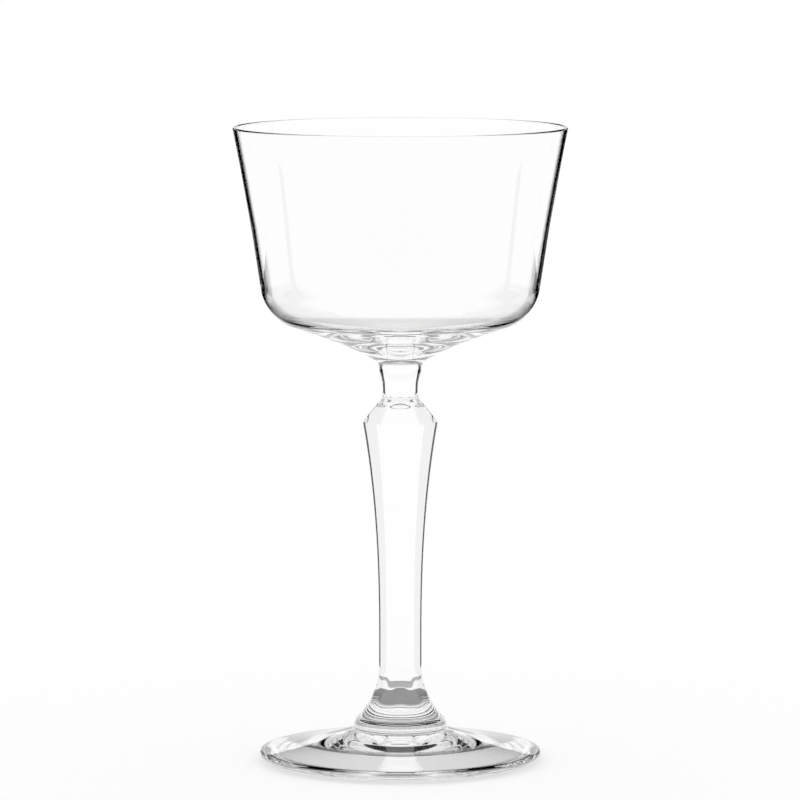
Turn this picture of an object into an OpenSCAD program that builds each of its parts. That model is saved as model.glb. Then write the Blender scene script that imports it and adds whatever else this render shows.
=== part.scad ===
// Nick and nora glass: a thin blown bowl with a flared wall, whose dished floor lies on a heavy
// cone-shaped base, a short round neck, a pressed six-sided stem with a shoulder, and a round foot.
// All lengths are in millimetres. The axis is Z, and the foot's rest ring lies at z = 0.
// The four pieces meet face to face, where the maker fuses hot glass to hot glass.

/* [Heights] */
// Foot, from the table to the seat of the stem
foot_h = 7.3; // [6.5:0.1:10]
// Stem, from the foot to the neck
stem_h = 76.7; // [65:0.1:90]
// Neck, from the stem to the bowl
neck_h = 8.9; // [7:0.1:12]
// Bowl, from the neck to the lip
bowl_h = 55.1; // [45:0.1:65]

/* [Bowl] */
// Outside diameter at the lip
rim_d = 77.8; // [72:0.1:86]
// Outside diameter at the corner, measured where wall and floor would meet sharp
corner_d = 63.1; // [58:0.1:68]
// Height of that sharp corner above the neck
corner_h = 11.1; // [9:0.1:14]
// Radius that rounds the corner outside
corner_out_r = 11; // [7:0.1:13]
// Height above the neck at which wall and floor would meet sharp inside
floor_h = 10.6; // [9.6:0.1:13]
// Radius that rounds the corner inside
corner_in_r = 8; // [5:0.1:10]
// How far the wall bows inwards half way up
wall_bow = 0.37; // [0.1:0.01:0.8]
// Thickness of the wall at the lip
lip_t = 0.85; // [0.6:0.05:1.4]
// Thickness of the wall half way up
wall_mid_t = 0.8; // [0.6:0.05:1.4]
// Thickness of the wall at the corner
wall_t = 1; // [0.8:0.05:1.6]
// Thickness of the heavy base under the middle of the floor
nadir_t = 5; // [3:0.1:7]
// Radius that dishes the middle of the floor
nadir_r = 15; // [5:0.5:25]
// Height at which the floor's underside turns from the neck's flare to the cone
bend_h = 3.4; // [2.5:0.1:4.5]
// Diameter at that turn
bend_d = 21; // [18:0.1:26]

/* [Neck] */
// Diameter where the neck meets the bowl
neck_top_d = 10.5; // [9.6:0.1:12]
// Diameter at the waist of the neck
neck_waist_d = 8.5; // [7:0.1:9]
// Diameter where the neck meets the stem
neck_foot_d = 9.9; // [9.2:0.1:11]
// Height of the waist's lower end above the stem
waist_low = 1.2; // [0.8:0.1:2]
// Height of the waist's upper end above the stem
waist_high = 4.1; // [3.5:0.1:5.5]

/* [Stem] */
// Width of the stem over its edges at the shoulder
shoulder_d = 17.64; // [15:0.02:20]
// Height of the shoulder's slope, from the widest place to the neck
shoulder_h = 4.8; // [4:0.1:7]
// Radius that rounds the shoulder
shoulder_r = 1.2; // [0.4:0.1:2]
// Width of the stem over its edges where it is narrowest
shaft_d = 10.04; // [8.8:0.02:12]
// Height above the foot at which the shaft starts to widen towards the shoulder
shaft_low = 20.7; // [18:0.1:30]
// How late the shaft widens: 1 is a straight taper
shaft_power = 2.4; // [1.6:0.1:3.2]
// Height above the foot at which the round flare starts
flare_h = 14.7; // [13.5:0.1:17]
// Radius of that flare
flare_r = 17.8; // [16:0.1:21]
// Radius of the hollow in which each flat face runs out over the flare
runout_r = 13; // [11:0.1:14]
// Height of the collar under the flare
collar_h = 2.1; // [1.4:0.1:3]
// Diameter of the collar where it stands on the foot
collar_d = 22.2; // [21.6:0.1:25]

/* [Foot] */
// Diameter of the foot
foot_d = 65.8; // [58:0.1:76]
// Height of the foot's widest line above the table
edge_h = 1.45; // [1:0.05:2]
// Height of the rounded edge above that line
edge_top_h = 0.6; // [0.3:0.05:1]
// How far the upper side of the foot sags below a straight cone
foot_sag = 0.62; // [0.1:0.02:0.9]
// Outside diameter of the ring that touches the table
ring_d = 60.6; // [50:0.1:62]
// Width of that ring
ring_w = 1.2; // [0.8:0.1:3]
// Height of the hollow under the foot, at its middle
hollow_h = 4.4; // [2:0.1:4.8]

/* [Hidden] */

// Clear glass, as it looks on a pale table
glass_colour = [0.88, 0.91, 0.92, 0.45];
// Steps of a lathe turn and of an arc
$fn = 128;
arc_steps = 8;
// Steps of the shaft's curve along its edges and along its flat faces, so that they bend at other heights
edge_steps = 16;
face_steps = 15;
// Pairs of opposite flat faces round the stem
flat_pairs = 3;
// How far the stem's cuts reach past it
overrun = 1;

// Radius where the bowl's floor meets the neck, and height of the corner that it rounds
throat_r = 0.6;
throat_h = 0.4;
// Radii below and above the neck's waist
waist_low_r = 3.9;
waist_high_r = 8.2;
// How much narrower the collar's radius is under the flare than on the foot
collar_taper = 0.7;
// How far under the top of the flare the flat faces start to run out
runout_drop = 0.5;
// Height over which the flat faces fade out under the neck
fade_h = 0.7;
// How far outside the round neck they lie at the stem's top
fade_lean = 0.3;
// Height of the foot's seat above its upper side, and radius of the corner there
seat_h = 0.35;
seat_r = 0.3;

// Distance of a flat face from the axis as a share of the distance of the edges
flat_share = 0.89;
// Part of a bowed line's half length over which it is bent
bow_share = 0.62;
// Least inward bow of the wall's inner face
least_bow = 0.02;
// Part of the floor's inner stretch over which its turn is bent
turn_share = 0.85;
// Angle at which a flat face has run out over the flare
runout_turn = 60;

rim_r = rim_d / 2;
neck_top_r = neck_top_d / 2;
neck_foot_r = neck_foot_d / 2;
shoulder_rad = shoulder_d / 2;
shaft_rad = shaft_d / 2;
collar_rad = collar_d / 2;
shoulder_z = stem_h - shoulder_h;

// Outlines

function unit(v) = v / norm(v);

// Half the angle at b between the ways to a and to c
function half_angle(a, b, c) = acos(unit(a - b) * unit(c - b)) / 2;

// The corner at b between a and c, rounded by an arc of radius r
function corner(a, b, c, r, n = arc_steps) =
    let (half = half_angle(a, b, c),
         m = b + unit(unit(a - b) + unit(c - b)) * r / sin(half),
         first = b + unit(a - b) * r / tan(half) - m,
         last = b + unit(c - b) * r / tan(half) - m,
         start = atan2(first.y, first.x),
         turn = (atan2(last.y, last.x) - start + 540) % 360 - 180)
    [for (k = [0 : n]) m + r * [cos(start + turn * k / n), sin(start + turn * k / n)]];

// The same corner, rounded by the arc that starts at a distance of reach from b
function bend(a, b, c, reach, n = arc_steps) = corner(a, b, c, reach * tan(half_angle(a, b, c)), n);

// Where the tangents of a bowed line from a to c meet, so that its middle lies bow off the straight line
function bow_corner(a, c, bow) = (a + c) / 2 + bow / (1 - bow_share / 2);

// Bowl

// Slope of the line from a point that touches the round nadir from below
function floor_slope(p, m) = atan2(p.y - m.y, p.x) + asin(nadir_r / norm(p - m));

function bowl_outside() =
    let (seat = [neck_top_r, 0],
         throat = [neck_top_r, throat_h],
         turn = [bend_d / 2, bend_h],
         low = [corner_d / 2, corner_h],
         high = [rim_r, bowl_h - lip_t / 2],
         mid = bow_corner(low, high, [-wall_bow, 0]))
    concat([[0, 0], seat],
           corner(seat, throat, turn, throat_r),
           bend(throat, turn, low, turn_share * norm(turn - throat)),
           corner(turn, low, mid, corner_out_r),
           bend(low, mid, high, bow_share * norm(high - mid)));

function lip() =
    [for (k = [0 : arc_steps])
        [rim_r - lip_t / 2 + lip_t / 2 * cos(180 * k / arc_steps),
         bowl_h - lip_t / 2 + lip_t / 2 * sin(180 * k / arc_steps)]];

function bowl_inside() =
    let (high = [rim_r - lip_t, bowl_h - lip_t / 2],
         lean = (rim_r - corner_d / 2) / (bowl_h - corner_h),
         low = [corner_d / 2 - wall_t + lean * (floor_h - corner_h), floor_h],
         inner_bow = max(wall_bow + wall_mid_t - (lip_t + wall_t) / 2, least_bow),
         mid = bow_corner(low, high, [-inner_bow, 0]),
         m = [0, nadir_t + nadir_r],
         slope = floor_slope(low, m),
         foot = m + nadir_r * [sin(slope), -cos(slope)])
    concat(bend(high, mid, low, bow_share * norm(mid - low)),
           corner(mid, low, foot, corner_in_r),
           [for (k = [0 : arc_steps])
               m + nadir_r * [sin(slope * (1 - k / arc_steps)), -cos(slope * (1 - k / arc_steps))]]);

module bowl() {
    color(glass_colour)
        translate([0, 0, foot_h + stem_h + neck_h])
            rotate_extrude()
                polygon(concat(bowl_outside(), lip(), bowl_inside()));
}

// Neck

function neck_outline() =
    let (low = [neck_foot_r, 0],
         a = [neck_waist_d / 2, waist_low],
         b = [neck_waist_d / 2, waist_high],
         high = [neck_top_r, neck_h],
         low_r = min(waist_low_r, norm(low - a) * tan(half_angle(low, a, b))))
    concat([[0, 0], low],
           corner(low, a, b, low_r),
           corner(a, b, high, waist_high_r),
           [high, [0, neck_h]]);

module neck() {
    color(glass_colour)
        translate([0, 0, foot_h + stem_h])
            rotate_extrude()
                polygon(neck_outline());
}

// Stem

// Distance of the edges from the axis between shaft_low and the shoulder
function shaft_at(z) =
    shaft_rad + (shoulder_rad - shaft_rad) * pow((z - shaft_low) / (shoulder_z - shaft_low), shaft_power);

// The shaft's curve from one of its steps to the shoulder, with all distances times a share
function shaft_line(share, first, steps) =
    [for (k = [first : steps])
        let (z = shaft_low + (shoulder_z - shaft_low) * k / steps)
        [share * shaft_at(z), z]];

function slope_at(z) = shoulder_rad + (neck_foot_r - shoulder_rad) * (z - shoulder_z) / shoulder_h;

// A shaft's curve, the rounded shoulder at its end, and the slope above it
function shoulder_line(shaft, last) =
    let (top = len(shaft) - 1)
    concat([for (k = [0 : top - 1]) shaft[k]],
           corner(shaft[top - 1], shaft[top], last, shoulder_r),
           [last]);

// An arc that is upright at radius r and height top, and bends outwards below it
function flare_line(r, bend_r, top, turn) =
    [for (k = [arc_steps : -1 : 0])
        [r + bend_r * (1 - cos(turn * k / arc_steps)), top - bend_r * sin(turn * k / arc_steps)]];

// The round outline that the edges of the stem touch
function stem_outline() =
    concat([[0, 0], [collar_rad, 0], [collar_rad - collar_taper, collar_h]],
           flare_line(shaft_rad, flare_r, flare_h, asin((flare_h - collar_h) / flare_r)),
           shoulder_line(shaft_line(1, 0, edge_steps), [neck_foot_r, stem_h]),
           [[0, stem_h]]);

// The line of one flat face, seen from the side
function flat_line() =
    let (fade = [flat_share * slope_at(stem_h - fade_h), stem_h - fade_h],
         runout = flare_line(flat_share * shaft_rad, runout_r, flare_h - runout_drop, runout_turn),
         past = neck_foot_r + fade_lean,
         clear = collar_rad + overrun)
    concat([[clear, -overrun], [clear, runout[0].y]],
           runout,
           shoulder_line(shaft_line(flat_share, 1, face_steps), fade),
           [[past, stem_h], [past, stem_h + overrun]]);

// What lies between one flat face and the face opposite
module flat_pair() {
    line = flat_line();
    last = len(line) - 1;
    rotate([90, 0, 90])
        linear_extrude(height = 2 * (collar_rad + overrun), center = true)
            polygon(concat(line, [for (k = [last : -1 : 0]) [-line[k].x, line[k].y]]));
}

module stem() {
    color(glass_colour)
        translate([0, 0, foot_h])
            intersection() {
                rotate_extrude()
                    polygon(stem_outline());
                intersection_for (k = [0 : flat_pairs - 1])
                    rotate([0, 0, 180 * k / flat_pairs])
                        flat_pair();
            }
}

// Foot

function foot_underside() =
    let (inner = ring_d / 2 - ring_w)
    [for (k = [0 : arc_steps])
        [inner * k / arc_steps, hollow_h * (1 - pow(k / arc_steps, 2))]];

// The edge curves up from the ring to its widest line
function foot_edge() =
    [for (k = [0 : arc_steps])
        let (turn = 90 * k / arc_steps)
        [ring_d / 2 + (foot_d - ring_d) / 2 * sin(turn), edge_h * (1 - cos(turn))]];

function foot_top() =
    let (wide = [foot_d / 2, edge_h],
         rim = [foot_d / 2, edge_h + edge_top_h],
         seat_low = [collar_rad, foot_h - seat_h],
         seat = [collar_rad, foot_h],
         mid = bow_corner(rim, seat_low, [0, -foot_sag]))
    concat(bend(wide, rim, mid, edge_top_h),
           bend(rim, mid, seat_low, bow_share * norm(rim - mid)),
           corner(mid, seat_low, seat, seat_r),
           [seat, [0, foot_h]]);

module foot() {
    color(glass_colour)
        rotate_extrude()
            polygon(concat(foot_underside(), foot_edge(), foot_top()));
}

bowl();
neck();
stem();
foot();
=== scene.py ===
"""Nick and nora glass: the looks of its four fused pieces of clear glass, and the studio it stands in."""

import math

import bmesh
import bpy
from mathutils import Matrix, Vector


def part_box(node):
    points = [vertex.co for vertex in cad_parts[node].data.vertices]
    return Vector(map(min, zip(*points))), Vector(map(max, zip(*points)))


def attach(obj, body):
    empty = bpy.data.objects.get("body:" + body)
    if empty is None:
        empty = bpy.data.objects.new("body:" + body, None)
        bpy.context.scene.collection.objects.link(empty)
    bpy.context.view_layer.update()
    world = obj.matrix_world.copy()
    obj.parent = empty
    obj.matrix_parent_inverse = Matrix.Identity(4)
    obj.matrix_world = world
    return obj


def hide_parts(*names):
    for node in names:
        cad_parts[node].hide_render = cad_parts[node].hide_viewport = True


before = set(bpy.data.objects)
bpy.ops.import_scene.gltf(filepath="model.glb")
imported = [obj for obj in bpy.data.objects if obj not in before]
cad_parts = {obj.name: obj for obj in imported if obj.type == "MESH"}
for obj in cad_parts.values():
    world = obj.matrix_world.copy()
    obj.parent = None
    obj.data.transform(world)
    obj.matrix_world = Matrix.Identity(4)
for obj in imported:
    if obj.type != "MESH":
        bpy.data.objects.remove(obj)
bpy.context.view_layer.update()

MM = 0.001
UP = Vector((0, 0, 1))
BACKWARD = Vector((0, 1, 0))
ACROSS = Vector((1, 0, 0))

# Where the pieces meet, and the widths that the frame gives
foot_top_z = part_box("foot")[1].z
stem_top_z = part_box("stem")[1].z
neck_top_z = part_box("neck")[1].z
lip_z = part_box("bowl")[1].z
lip_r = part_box("bowl")[1].x
foot_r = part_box("foot")[1].x

# Turns of the lathe, and the spacing of points along an outline
LATHE_STEPS = 240
ARC_STEP = math.radians(2.5)
RUN_STEP = 0.9 * MM
# Points nearer than this are one point, and a face whose normal is steeper than this is level
SAME = 0.0005 * MM
LEVEL = 0.999


def lathe_outline(bm, corners):
    """Draws half a section as a wire through corners, each (radius, height, reach) in metres. A corner with
    a reach is rounded by the arc that starts that far before it. Returns the wire's last point."""
    points = [Vector((x, 0, z)) for x, z, _ in corners]
    pen = bm.verts.new(points[0])
    for k in range(1, len(points)):
        reach = corners[k][2]
        if k == len(points) - 1 or not reach:
            pen = draw_line(bm, pen, points[k])
            continue
        back = (points[k - 1] - points[k]).normalized()
        on = (points[k + 1] - points[k]).normalized()
        half = back.angle(on) / 2
        pen = draw_line(bm, pen, points[k] + back * reach)
        centre = points[k] + (back + on).normalized() * reach / math.cos(half)
        turn = math.copysign(math.pi - 2 * half, on.cross(back).y)
        steps = max(2, round(abs(turn) / ARC_STEP))
        pen = draw_arc(bm, pen, centre, BACKWARD, turn, steps)
    return pen


def draw_line(bm, pen, place):
    """Draws a straight run in short steps, so that the shading of the arcs beside it stays near them."""
    start = pen.co.copy()
    steps = max(1, round((place - start).length / RUN_STEP))
    for k in range(1, steps + 1):
        pen = bmesh.ops.extrude_vert_indiv(bm, verts=[pen])["verts"][0]
        pen.co = start.lerp(place, k / steps)
    return pen


def draw_arc(bm, pen, centre, axis, turn, steps):
    """Draws an arc from the pen round an axis through centre."""
    made = bmesh.ops.spin(bm, geom=[pen], cent=centre, axis=axis, dvec=(0, 0, 0), angle=turn, steps=steps,
                          use_duplicate=False)
    return next(g for g in made["geom_last"] if isinstance(g, bmesh.types.BMVert))


def turn_on_lathe(bm, base_z):
    """Lifts the half section to base_z and turns it into a closed solid."""
    bmesh.ops.translate(bm, verts=bm.verts, vec=UP * base_z)
    bmesh.ops.spin(bm, geom=bm.verts[:] + bm.edges[:], cent=(0, 0, 0), axis=UP, dvec=(0, 0, 0),
                   angle=2 * math.pi, steps=LATHE_STEPS, use_merge=True, use_duplicate=False)
    bmesh.ops.remove_doubles(bm, verts=bm.verts, dist=SAME)
    bmesh.ops.recalc_face_normals(bm, faces=bm.faces)


def turned(corners, base_z):
    """A closed solid of revolution from its half section, which stands at base_z."""
    bm = bmesh.new()
    lathe_outline(bm, corners)
    turn_on_lathe(bm, base_z)
    return bm


def distance(a, b):
    return math.hypot(a[0] - b[0], a[1] - b[1])


def reach_for(a, b, c, radius):
    """How far from b an arc of that radius starts, between the runs to a and to c."""
    a, b, c = (Vector(p[:2]) for p in (a, b, c))
    return radius / math.tan((a - b).angle(c - b) / 2)


def bow_corner(a, c, inward, drop):
    """Where the tangents of a bowed line from a to c meet, for a bow of that much inwards and down."""
    share = 1 - BOW_SHARE / 2
    return ((a[0] + c[0]) / 2 - inward / share, (a[1] + c[1]) / 2 - drop / share)


def finished(bm, name, material, joints, node):
    """Makes the piece for its node, and marks the faces where it is fused to its neighbours."""
    for face in bm.faces:
        face.smooth = True
        level = abs(face.normal.z) > LEVEL
        if level and any(abs(face.calc_center_median().z - z) < SAME for z in joints):
            face.material_index = 1
    mesh = bpy.data.meshes.new(name)
    bm.to_mesh(mesh)
    bm.free()
    piece = bpy.data.objects.new(name, mesh)
    bpy.context.scene.collection.objects.link(piece)
    mesh.materials.append(material)
    mesh.materials.append(fused_joint)
    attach(piece, "root")
    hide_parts(node)


# Bowl

corner_r = 31.55 * MM
corner_h = 11.1 * MM
corner_out_arc = 11 * MM
inner_corner_h = 10.6 * MM
corner_in_arc = 8 * MM
wall_bow = 0.37 * MM
lip_t = 0.85 * MM
wall_mid_t = 0.8 * MM
wall_t = 1 * MM
nadir_t = 5 * MM
nadir_arc = 15 * MM
bend_r = 10.5 * MM
bend_h = 3.4 * MM
throat_h = 0.4 * MM
throat_arc = 0.6 * MM
neck_top_r = 5.25 * MM
# Share of a bowed line's half length over which it is bent, and of the run below the turn under the floor
BOW_SHARE = 0.62
TURN_SHARE = 0.85


def bowl_section():
    """The bowl's half section up to its dish, and the angle at which the floor runs down to the dish."""
    height = lip_z - neck_top_z
    high = (lip_r, height - lip_t / 2)
    low = (corner_r, corner_h)
    mid = bow_corner(low, high, wall_bow, 0)
    turn = (bend_r, bend_h)
    throat = (neck_top_r, throat_h)
    lean = (lip_r - corner_r) / (height - corner_h)
    in_high = (lip_r - lip_t, high[1])
    in_low = (corner_r - wall_t + lean * (inner_corner_h - corner_h), inner_corner_h)
    in_mid = bow_corner(in_low, in_high, wall_bow + wall_mid_t - (lip_t + wall_t) / 2, 0)
    # the floor runs down to a shallow dish, whose arc has its middle on the axis
    rise = nadir_t + nadir_arc
    slope = math.atan2(in_low[1] - rise, in_low[0]) + math.asin(nadir_arc / distance(in_low, (0, rise)))
    nadir = (0, rise - nadir_arc / math.cos(slope))
    dish_reach = nadir_arc * math.tan(slope)
    return [
        (0, 0, 0), (neck_top_r, 0, 0),
        (*throat, reach_for((neck_top_r, 0), throat, turn, throat_arc)),
        (*turn, TURN_SHARE * distance(turn, throat)),
        (*low, reach_for(turn, low, mid, corner_out_arc)),
        (*mid, BOW_SHARE * distance(high, mid)),
        (*high, 0),
        (lip_r, height, lip_t / 2), (lip_r - lip_t, height, lip_t / 2),
        (*in_high, 0),
        (*in_mid, BOW_SHARE * distance(in_low, in_mid)),
        (*in_low, reach_for(in_mid, in_low, nadir, corner_in_arc)),
        (dish_reach * math.cos(slope), nadir[1] + dish_reach * math.sin(slope), 0),
    ], slope


def make_bowl():
    section, slope = bowl_section()
    bm = bmesh.new()
    pen = lathe_outline(bm, section)
    steps = max(2, round(slope / ARC_STEP))
    draw_arc(bm, pen, (0, 0, nadir_t + nadir_arc), BACKWARD, slope, steps)
    turn_on_lathe(bm, neck_top_z)
    finished(bm, "blown_bowl", blown_glass, [neck_top_z], "bowl")


# Neck

waist_r = 4.25 * MM
neck_foot_r = 4.95 * MM
waist_low = 1.2 * MM
waist_high = 4.1 * MM
waist_low_arc = 3.9 * MM
waist_high_arc = 8.2 * MM


def make_neck():
    height = neck_top_z - stem_top_z
    foot = (neck_foot_r, 0)
    low = (waist_r, waist_low)
    high = (waist_r, waist_high)
    top = (neck_top_r, height)
    low_reach = min(reach_for(foot, low, high, waist_low_arc), distance(foot, low))
    bm = turned([(0, 0, 0), (*foot, 0), (*low, low_reach),
                 (*high, reach_for(low, high, top, waist_high_arc)), (*top, 0), (0, height, 0)], stem_top_z)
    finished(bm, "waisted_neck", blown_glass, [stem_top_z, neck_top_z], "neck")


# Stem

shoulder_r = 8.82 * MM
shoulder_h = 4.8 * MM
shoulder_arc = 1.2 * MM
shaft_r = 5.02 * MM
shaft_low = 20.7 * MM
SHAFT_POWER = 2.4
flare_h = 14.7 * MM
flare_arc = 17.8 * MM
runout_drop = 0.5 * MM
runout_arc = 13 * MM
collar_h = 2.1 * MM
collar_r = 11.1 * MM
collar_taper = 0.7 * MM
fade_h = 0.7 * MM
fade_lean = 0.3 * MM
# Share of the runout's arc that is used, and the flat faces' distance as a share of the edges'
RUNOUT_SHARE = 0.999
FLAT_SHARE = 0.89
FLAT_FACES = 6
# The higher, the sharper the edges between the flat faces
EDGE_SHARPNESS = 45
SHAFT_RUNS = 40


def shaft_at(z, top):
    """Distance of the stem's edges from its axis, from shaft_low up to the shoulder."""
    share = max(0, z - shaft_low) / (top - shoulder_h - shaft_low)
    return shaft_r + (shoulder_r - shaft_r) * share ** SHAFT_POWER


def stem_section(height):
    """The round outline that the stem's edges touch."""
    turn = math.asin((flare_h - collar_h) / flare_arc)
    tangent = flare_arc * math.tan(turn / 2)
    flare_low = (shaft_r + flare_arc * (1 - math.cos(turn)), collar_h)
    shaft = [shaft_low + (height - shoulder_h - shaft_low) * k / SHAFT_RUNS for k in range(SHAFT_RUNS + 1)]
    line = [(shaft_at(z, height), z) for z in shaft]
    top = (neck_foot_r, height)
    return [(0, 0, 0), (collar_r, 0, 0), (collar_r - collar_taper, collar_h, 0), (*flare_low, 0),
            (shaft_r, flare_h - tangent, tangent),
            *((*p, 0) for p in line[:-1]),
            (*line[-1], reach_for(line[-2], line[-1], top, shoulder_arc)),
            (*top, 0), (0, height, 0)]


def flat_at(z, height):
    """Distance of the flat faces from the axis at a height in the stem."""
    top = flare_h - runout_drop
    if z < top:
        sink = min(top - z, runout_arc * RUNOUT_SHARE)
        return FLAT_SHARE * shaft_r + runout_arc - math.sqrt(runout_arc ** 2 - sink ** 2)
    shoulder_z = height - shoulder_h
    if z <= shoulder_z:
        return FLAT_SHARE * shaft_at(z, height)
    slope = (neck_foot_r - shoulder_r) / shoulder_h
    fade_z = height - fade_h
    if z <= fade_z:
        return FLAT_SHARE * (shoulder_r + slope * (z - shoulder_z))
    low = FLAT_SHARE * (shoulder_r + slope * (fade_z - shoulder_z))
    return low + (neck_foot_r + fade_lean - low) * (z - fade_z) / fade_h


def make_stem():
    height = stem_top_z - foot_top_z
    bm = turned(stem_section(height), foot_top_z)
    sector = 2 * math.pi / FLAT_FACES
    for v in bm.verts:
        z = v.co.z - foot_top_z
        round_r = math.hypot(v.co.x, v.co.y)
        if not SAME < z < height - SAME or round_r < SAME:
            continue
        # the flat faces look along +Y and every sixth of a turn from there
        turn = (math.atan2(v.co.y, v.co.x) - math.pi / 2 + sector / 2) % sector - sector / 2
        flat_r = flat_at(z, height) / math.cos(turn)
        pressed = (round_r ** -EDGE_SHARPNESS + flat_r ** -EDGE_SHARPNESS) ** (-1 / EDGE_SHARPNESS)
        v.co.xy *= pressed / round_r
    finished(bm, "pressed_stem", pressed_glass, [foot_top_z, stem_top_z], "stem")


# Foot

edge_h = 1.45 * MM
edge_top_h = 0.6 * MM
foot_sag = 0.62 * MM
ring_r = 30.3 * MM
ring_w = 1.2 * MM
hollow_h = 4.4 * MM
seat_h = 0.35 * MM
seat_arc = 0.3 * MM
# Share of half the hollow's radius over which its ceiling bends, and the runs of the foot's curved edge
HOLLOW_BEND = 0.98
EDGE_RUNS = 10


def foot_edge():
    """The edge curves up from the ring to its widest line."""
    turns = [math.pi / 2 * k / EDGE_RUNS for k in range(1, EDGE_RUNS + 1)]
    return [(ring_r + (foot_r - ring_r) * math.sin(t), edge_h * (1 - math.cos(t)), 0) for t in turns]


def make_foot():
    inner = ring_r - ring_w
    rim = (foot_r, edge_h + edge_top_h)
    seat_low = (collar_r, foot_top_z - seat_h)
    seat = (collar_r, foot_top_z)
    mid = bow_corner(rim, seat_low, 0, foot_sag)
    bm = turned([(0, hollow_h, 0), (inner / 2, hollow_h, HOLLOW_BEND * inner / 2),
                 (inner, 0, 0), (ring_r, 0, 0), *foot_edge(), (*rim, edge_top_h),
                 (*mid, BOW_SHARE * distance(rim, mid)),
                 (*seat_low, reach_for(mid, seat_low, seat, seat_arc)),
                 (*seat, 0), (0, foot_top_z, 0)], 0)
    finished(bm, "round_foot", pressed_glass, [foot_top_z], "foot")


# Materials

GLASS_IOR = 1.52
GLASS_COLOUR = (0.99, 0.993, 0.988, 1)
WHITE = (1, 1, 1, 1)
# Height and size of the soft waves in the blown pieces and in the pressed ones
blown_wave = 0.003 * MM
blown_size = 12 * MM
pressed_wave = 0.008 * MM
pressed_size = 7 * MM


def clear_glass(name, wave, size):
    """Colourless glass. Its surface waves softly by wave over a size, as fire polishing leaves it."""
    material = bpy.data.materials.new(name)
    material.use_nodes = True
    nodes, links = material.node_tree.nodes, material.node_tree.links
    glass = nodes["Principled BSDF"]
    glass.inputs["Base Color"].default_value = GLASS_COLOUR
    glass.inputs["Transmission Weight"].default_value = 1
    glass.inputs["IOR"].default_value = GLASS_IOR
    glass.inputs["Roughness"].default_value = 0
    place = nodes.new("ShaderNodeTexCoord")
    noise = nodes.new("ShaderNodeTexNoise")
    noise.inputs["Scale"].default_value = 1 / size
    noise.inputs["Detail"].default_value = 1
    bump = nodes.new("ShaderNodeBump")
    bump.inputs["Distance"].default_value = wave
    bump.inputs["Strength"].default_value = 1
    links.new(place.outputs["Object"], noise.inputs["Vector"])
    links.new(noise.outputs["Fac"], bump.inputs["Height"])
    links.new(bump.outputs["Normal"], glass.inputs["Normal"])
    return material


def joint_face():
    """Where two pieces are fused there is no surface, so light goes straight through."""
    material = bpy.data.materials.new("fused_joint")
    material.use_nodes = True
    nodes, links = material.node_tree.nodes, material.node_tree.links
    nodes.remove(nodes["Principled BSDF"])
    clear = nodes.new("ShaderNodeBsdfTransparent")
    links.new(clear.outputs[0], nodes["Material Output"].inputs["Surface"])
    return material


# Studio: a white backdrop with black panels beside it, which draw the outlines of clear glass

CAMERA_BACK = 1.265
CAMERA_UP = 0.2216
CAMERA_ASIDE = -0.00007
CAMERA_DIP = math.radians(6.195)
LENS = 245.8
SEES_TO = 20

FLOOR_R = 6
FLOOR_SIDES = 64
FLOOR_GAP = 0.6 * MM
FLOOR_PAINT = 0.5
FLOOR_GLOW = 0.5

# Black panels at both sides of the white backdrop, beside the bowl and lower down, as (x, z) in millimetres
panel_back = 42 * MM
bowl_panel = [(39, 104), (60, 104), (68, 152), (46, 152)]
stem_panel = [(42, 6), (84, 6), (84, 104), (38, 104)]
# Painted light and shade under the foot, on sheets just above the floor that only the glass sees: grey
# painted shade behind the stem, and white painted light in front, over the glass's own shadow on the floor
painted_patch_r = 34 * MM
PAINTED_PATCH_GAP = 0.4 * MM
PAINTED_PATCH_STEPS = 24
back_turn = math.radians(60)
painted_shade_glow = 0.25
painted_light_glow = 0.95
# The black band of sky above the white backdrop
sky_r = 2.5
SKY_TURN = math.radians(75)
SKY_LOW = math.radians(14)
SKY_HIGH = math.radians(60)
sky_glow = 0
SKY_STEPS = 24
# Light passes many surfaces on its way through the stem and the foot
GLASS_BOUNCES = 32
GLOSS_BOUNCES = 16


def make_camera():
    data = bpy.data.cameras.new("camera")
    data.lens = LENS
    data.clip_end = SEES_TO
    item = bpy.data.objects.new("camera", data)
    item.location = (CAMERA_ASIDE, -CAMERA_BACK, CAMERA_UP)
    item.rotation_euler = (math.pi / 2 - CAMERA_DIP, 0, 0)
    bpy.context.scene.collection.objects.link(item)
    bpy.context.scene.camera = item
    return item


def glow(name, strength):
    material = bpy.data.materials.new(name)
    material.use_nodes = True
    nodes, links = material.node_tree.nodes, material.node_tree.links
    nodes.remove(nodes["Principled BSDF"])
    light = nodes.new("ShaderNodeEmission")
    light.inputs["Strength"].default_value = strength
    links.new(light.outputs[0], nodes["Material Output"].inputs["Surface"])
    return material


def stage_item(bm, name, material):
    mesh = bpy.data.meshes.new(name)
    bm.to_mesh(mesh)
    bm.free()
    mesh.materials.append(material)
    item = bpy.data.objects.new(name, mesh)
    bpy.context.scene.collection.objects.link(item)
    return item


def unseen(item):
    """A card that only the glass sees. It throws no shadow and isn't in the picture."""
    item.visible_camera = False
    item.visible_diffuse = False
    item.visible_shadow = False
    return item


def make_turntable(camera):
    """What stands on it goes round the glass with the camera, whatever side the camera looks from, so the
    panels draw the same outlines in each view, as if the glass were turned in a fixed studio."""
    table = bpy.data.objects.new("turntable", None)
    bpy.context.scene.collection.objects.link(table)
    turn = table.constraints.new("COPY_ROTATION")
    turn.target = camera
    turn.use_x = False
    turn.use_y = False
    return table


def mirrored_card(name, corners, table, material):
    """A flat card through corners, and its mirror image on the other side of the glass."""
    bm = bmesh.new()
    sheet = bmesh.ops.contextual_create(bm, geom=[bm.verts.new(c) for c in corners])
    bmesh.ops.mirror(bm, geom=bm.verts[:] + bm.edges[:] + sheet["faces"], axis="X", merge_dist=0)
    unseen(stage_item(bm, name, material)).parent = table


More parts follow.
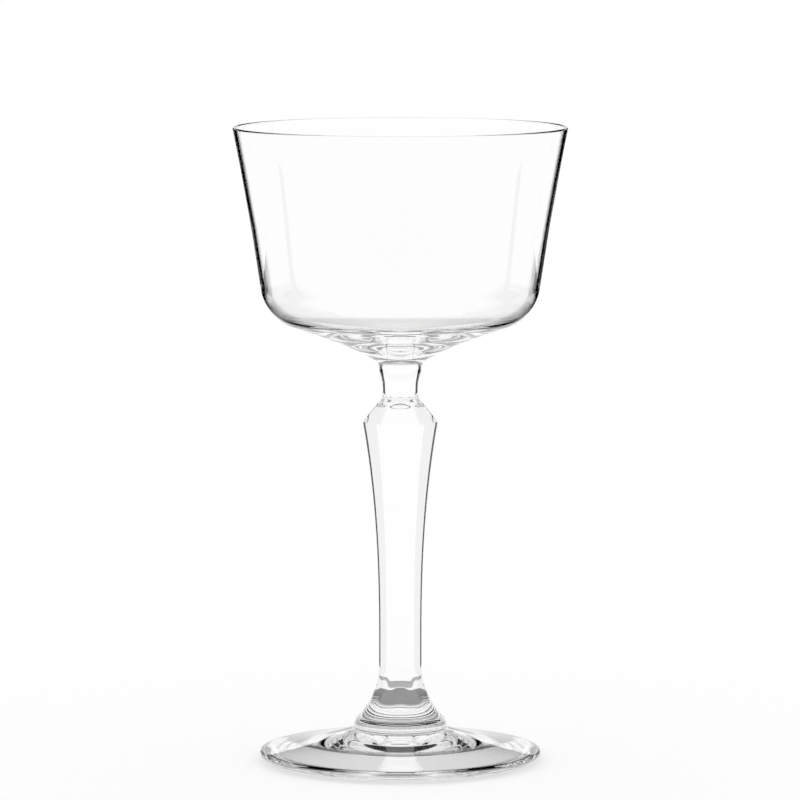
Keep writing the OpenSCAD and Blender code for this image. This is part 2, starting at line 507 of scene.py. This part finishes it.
def make_panels(table, black):
    for name, panel in (("bowl_panels", bowl_panel), ("stem_panels", stem_panel)):
        mirrored_card(name, [(x * MM, panel_back, z * MM) for x, z in panel], table, black)


def make_sky(table, material):
    """The band of sky above the white backdrop, round the back of the glass."""
    bm = bmesh.new()
    pen = bm.verts.new((0, sky_r * math.cos(SKY_LOW), sky_r * math.sin(SKY_LOW)))
    draw_arc(bm, pen, (0, 0, 0), ACROSS, SKY_HIGH - SKY_LOW, SKY_STEPS)
    bmesh.ops.rotate(bm, verts=bm.verts, cent=(0, 0, 0), matrix=Matrix.Rotation(-SKY_TURN, 3, "Z"))
    bmesh.ops.spin(bm, geom=bm.verts[:] + bm.edges[:], cent=(0, 0, 0), axis=UP, dvec=(0, 0, 0),
                   angle=2 * SKY_TURN, steps=2 * SKY_STEPS, use_duplicate=False)
    unseen(stage_item(bm, "dark_sky", material)).parent = table


def make_painted_patch(name, turn_low, turn_high, table, material):
    """A glowing sector under the foot between two turns from straight behind, with its mirror image. It
    paints the light and shade that the glass shows of the floor there.
    """
    bm = bmesh.new()
    draw_line(bm, bm.verts.new((0, 0, -PAINTED_PATCH_GAP)), Vector((0, painted_patch_r, -PAINTED_PATCH_GAP)))
    bmesh.ops.rotate(bm, verts=bm.verts, cent=(0, 0, 0), matrix=Matrix.Rotation(-turn_low, 3, "Z"))
    bmesh.ops.spin(bm, geom=bm.verts[:] + bm.edges[:], cent=(0, 0, 0), axis=UP, dvec=(0, 0, 0),
                   angle=turn_low - turn_high, steps=PAINTED_PATCH_STEPS, use_duplicate=False)
    bmesh.ops.mirror(bm, geom=bm.verts[:] + bm.edges[:] + bm.faces[:], axis="X", merge_dist=0)
    unseen(stage_item(bm, name, material)).parent = table


def make_floor():
    bm = bmesh.new()
    bmesh.ops.create_circle(bm, cap_ends=True, segments=FLOOR_SIDES, radius=FLOOR_R)
    bmesh.ops.translate(bm, verts=bm.verts, vec=-UP * FLOOR_GAP)
    material = bpy.data.materials.new("pale_floor")
    material.use_nodes = True
    nodes, links = material.node_tree.nodes, material.node_tree.links
    nodes.remove(nodes["Principled BSDF"])
    paint = nodes.new("ShaderNodeBsdfDiffuse")
    paint.inputs["Color"].default_value = (FLOOR_PAINT, FLOOR_PAINT, FLOOR_PAINT, 1)
    light = nodes.new("ShaderNodeEmission")
    light.inputs["Strength"].default_value = FLOOR_GLOW
    both = nodes.new("ShaderNodeAddShader")
    links.new(paint.outputs[0], both.inputs[0])
    links.new(light.outputs[0], both.inputs[1])
    links.new(both.outputs[0], nodes["Material Output"].inputs["Surface"])
    stage_item(bm, "floor", material)


def make_world():
    world = bpy.data.worlds.new("studio")
    bpy.context.scene.world = world
    world.use_nodes = True
    back = world.node_tree.nodes["Background"]
    back.inputs["Color"].default_value = WHITE
    back.inputs["Strength"].default_value = 1


blown_glass = clear_glass("blown_glass", blown_wave, blown_size)
pressed_glass = clear_glass("pressed_glass", pressed_wave, pressed_size)
fused_joint = joint_face()

make_bowl()
make_neck()
make_stem()
make_foot()

camera = make_camera()
black = glow("black_flag", 0)
make_floor()
make_world()
turntable = make_turntable(camera)
make_panels(turntable, black)
# Painted shade: a grey glowing sheet under the back of the foot, seen only through the glass
make_painted_patch("back_painted_shade", 0, back_turn, turntable, glow("painted_shade_patch", painted_shade_glow))
# Painted light: a white glowing sheet under the front of the foot, seen only through the glass, which
# covers the glass's shadow on the floor
make_painted_patch("front_painted_light", back_turn, math.pi, turntable, glow("painted_light_patch", painted_light_glow))
make_sky(turntable, glow("dark_sky", sky_glow))

scene = bpy.context.scene
scene.view_settings.view_transform = "Standard"
scene.cycles.max_bounces = GLASS_BOUNCES
scene.cycles.transmission_bounces = GLASS_BOUNCES
scene.cycles.glossy_bounces = GLOSS_BOUNCES
scene.cycles.transparent_max_bounces = GLASS_BOUNCES
